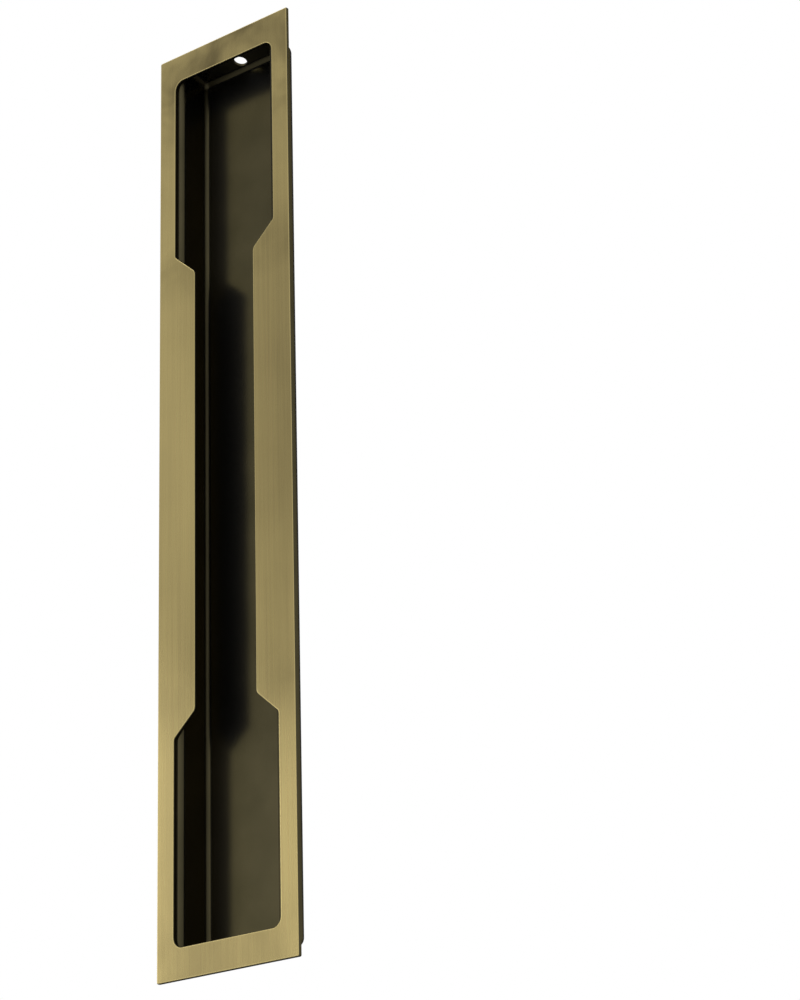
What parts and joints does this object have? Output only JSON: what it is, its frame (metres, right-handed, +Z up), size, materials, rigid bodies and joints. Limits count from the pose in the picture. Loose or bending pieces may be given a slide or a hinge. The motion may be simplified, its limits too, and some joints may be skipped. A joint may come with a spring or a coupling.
{
  "type": "flush sliding door pull",
  "caption": "Long flush pull for a sliding door: flat brass plate with a dog-bone opening and finger lips over a dark pressed recess pan, screwed through its leaning end walls.",
  "frame": {"origin": "middle of the face plate's rear face, the plane that lies against the door", "axes": "+X across the pull to the right as seen from the front, +Y into the door, +Z up along its length"},
  "size_m": [0.054, 0.013, 0.3],
  "materials": {
    "antique_brass": "brushed along its length, antiqued and clear lacquered",
    "dark_bronze_lacquer": "dark bronze, smooth and semi-gloss"
  },
  "bodies": {
    "root": {"face_plate": "antique_brass", "recess_pan": "dark_bronze_lacquer"}
  },
  "joints": []
}
